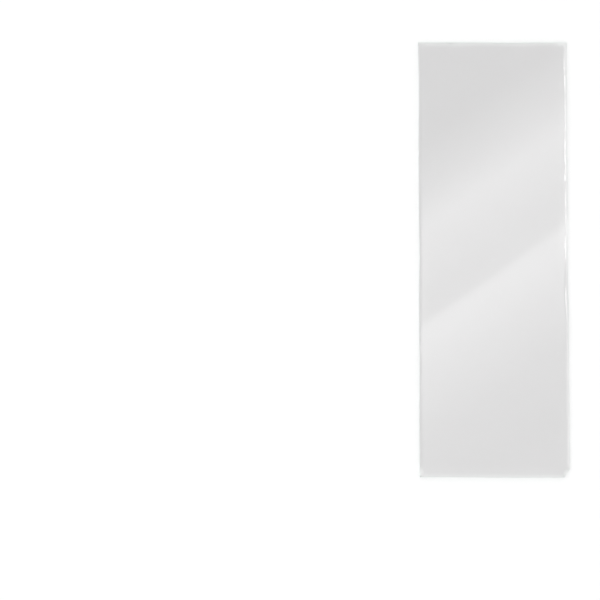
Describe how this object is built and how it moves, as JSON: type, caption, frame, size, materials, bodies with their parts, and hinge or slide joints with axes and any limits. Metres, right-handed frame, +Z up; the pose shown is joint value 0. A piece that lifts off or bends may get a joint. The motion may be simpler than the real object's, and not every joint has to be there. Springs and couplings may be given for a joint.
{
  "type": "microscope slide",
  "caption": "Flat rectangular pane of clear glass that carries a specimen under a microscope, with as-cut edges and a small broken corner.",
  "frame": {"origin": "centre of the underside, on the surface the slide lies on", "axes": "+X to the right across the width, +Y along the length towards the far end, away from the broken corner, +Z up through the thickness"},
  "size_m": [0.026, 0.076, 0.001],
  "materials": {
    "clear_glass": "smooth clear sheet glass, with a faintly frosted break on its cut edges"
  },
  "bodies": {
    "root": {"glass_slide": "clear_glass"}
  },
  "joints": []
}
